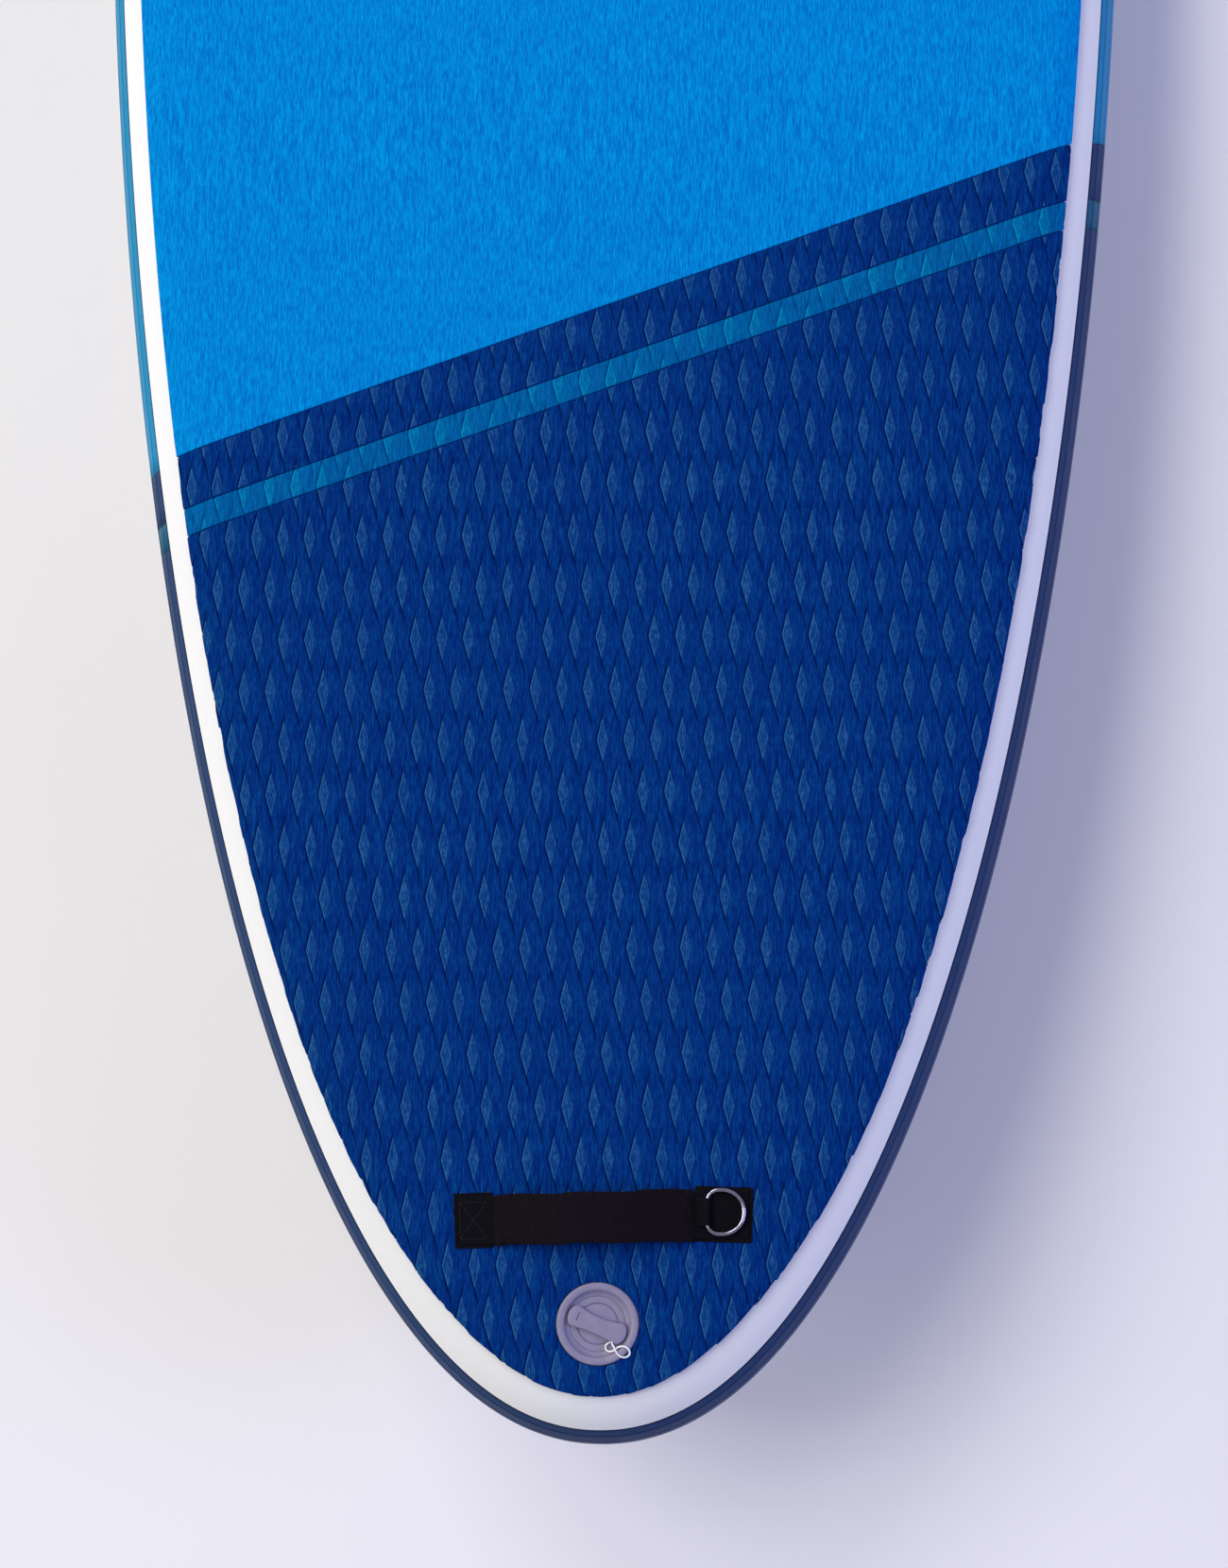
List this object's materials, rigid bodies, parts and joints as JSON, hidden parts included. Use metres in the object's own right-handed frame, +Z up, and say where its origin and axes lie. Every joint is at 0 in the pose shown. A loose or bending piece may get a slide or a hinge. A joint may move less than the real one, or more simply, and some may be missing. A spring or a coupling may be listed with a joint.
{
  "type": "inflatable stand-up paddle board",
  "caption": "Inflatable paddle board with a two-colour deck pad, webbing handles, hinged D-rings, a capped inflation valve with a spring plunger, and fixed fins.",
  "frame": {"origin": "middle of the base of the box round the board as it rests on its side fins and the front of its bottom", "axes": "+X from the tail to the nose, +Y to port, +Z up; the deck leans nose-down by the angle at which it rests"},
  "size_m": [3.2564, 0.864, 0.2733],
  "materials": {
    "white_pvc": "semi-matt PVC-coated fabric",
    "chamber_fabric": "drop-stitch base fabric",
    "thread": "polyester thread",
    "blue_pvc": "semi-matt PVC-coated fabric",
    "navy_pvc": "semi-matt PVC-coated fabric",
    "stripe_pvc": "semi-matt PVC-coated fabric",
    "blue_foam": "brushed closed-cell foam with fine ribs",
    "navy_foam": "closed-cell foam with diamond grooves",
    "stripe_foam": "closed-cell foam with diamond grooves",
    "black_webbing": "woven polyester webbing",
    "handle_padding": "padded fabric sleeve",
    "chrome": "polished",
    "spring_steel": "drawn wire",
    "black_rubber": "moulded",
    "grey_plastic": "moulded, fine matt grain",
    "fin_plastic": "moulded",
    "white_cord": "braided cord"
  },
  "bodies": {
    "board": {"bottom_edge_tape": "white_pvc", "bottom_laminate": "white_pvc", "bottom_panel": "chamber_fabric", "cargo_front_port_anchor": "black_webbing", "cargo_front_starboard_anchor": "black_webbing", "cargo_rear_port_anchor": "black_webbing", "cargo_rear_starboard_anchor": "black_webbing", "carry_handle_grip": "handle_padding", "carry_handle_patch_front": "black_webbing", "carry_handle_patch_rear": "black_webbing", "carry_handle_strap": "black_webbing", "deck_edge_tape": "white_pvc", "deck_laminate": "white_pvc", "deck_pad_band": "navy_foam", "deck_pad_front": "blue_foam", "deck_pad_rear": "navy_foam", "deck_pad_stripe": "stripe_foam", "deck_panel": "chamber_fabric", "deck_panel_nose": "chamber_fabric", "drop_threads": "thread", "fin_base_centre": "black_rubber", "fin_base_port": "black_rubber", "fin_base_starboard": "black_rubber", "fin_centre": "fin_plastic", "fin_port": "fin_plastic", "fin_starboard": "fin_plastic", "nose_handle_patch_port": "black_webbing", "nose_handle_patch_starboard": "black_webbing", "nose_handle_strap": "black_webbing", "rail_cover_band_port": "navy_pvc", "rail_cover_band_starboard": "navy_pvc", "rail_cover_front": "blue_pvc", "rail_cover_rear": "navy_pvc", "rail_stripe_port": "stripe_pvc", "rail_stripe_starboard": "stripe_pvc", "side_wall_port": "chamber_fabric", "side_wall_starboard": "chamber_fabric", "tail_handle_patch_port": "black_webbing", "tail_handle_patch_starboard": "black_webbing", "tail_handle_sleeve": "handle_padding", "tail_handle_strap": "black_webbing", "tail_ring_tab": "black_webbing", "tow_anchor": "black_webbing", "valve_body": "grey_plastic", "valve_clamp_nut": "grey_plastic", "valve_gasket": "black_rubber", "valve_guide": "grey_plastic", "valve_spring": "spring_steel"},
    "tail_ring": {"tail_ring": "chrome"},
    "cargo_rear_port_ring": {"cargo_rear_port_ring": "chrome"},
    "cargo_rear_starboard_ring": {"cargo_rear_starboard_ring": "chrome"},
    "cargo_front_port_ring": {"cargo_front_port_ring": "chrome"},
    "cargo_front_starboard_ring": {"cargo_front_starboard_ring": "chrome"},
    "tow_ring": {"tow_ring": "chrome"},
    "cap_seal": {"cap_o_ring": "black_rubber"},
    "cap": {"valve_cap": "grey_plastic", "cap_cord": "white_cord"},
    "plunger": {"valve_plunger": "grey_plastic", "valve_seal": "black_rubber"}
  },
  "joints": [
    {"name": "tail_ring_hinge", "type": "hinge", "parent": "board", "child": "tail_ring", "pos_m": [-1.43665, -0.0873, 0.25777], "axis": [-0.9976, 0, 0.0693], "range_deg": [0, 150]},
    {"name": "cargo_rear_port_ring_hinge", "type": "hinge", "parent": "board", "child": "cargo_rear_port_ring", "pos_m": [0.84553, 0.21, 0.12988], "axis": [0, -1, 0], "range_deg": [0, 175]},
    {"name": "cargo_rear_starboard_ring_hinge", "type": "hinge", "parent": "board", "child": "cargo_rear_starboard_ring", "pos_m": [0.84553, -0.21, 0.12988], "axis": [0, -1, 0], "range_deg": [0, 175]},
    {"name": "cargo_front_port_ring_hinge", "type": "hinge", "parent": "board", "child": "cargo_front_port_ring", "pos_m": [1.20398, 0.135, 0.15949], "axis": [0, 1, 0], "range_deg": [0, 175]},
    {"name": "cargo_front_starboard_ring_hinge", "type": "hinge", "parent": "board", "child": "cargo_front_starboard_ring", "pos_m": [1.20398, -0.135, 0.15949], "axis": [0, 1, 0], "range_deg": [0, 175]},
    {"name": "tow_ring_hinge", "type": "hinge", "parent": "board", "child": "tow_ring", "pos_m": [1.43432, 0, 0.0628], "axis": [0, 1, 0], "range_deg": [-70, 70]},
    {"name": "cap_lift", "type": "slide", "parent": "board", "child": "cap_seal", "axis": [0.0693, 0, 0.9976], "range_m": [0, 0.06]},
    {"name": "cap_twist", "type": "hinge", "parent": "cap_seal", "child": "cap", "pos_m": [-1.52725, 0, 0.25231], "axis": [0.0693, 0, 0.9976], "range_deg": [0, 90]},
    {"name": "plunger_press", "type": "slide", "parent": "board", "child": "plunger", "axis": [-0.0693, 0, -0.9976], "range_m": [0, 0.006], "stiffness_N_per_m": 1500, "springref_m": -0.003, "deforming": ["valve_spring"]}
  ]
}
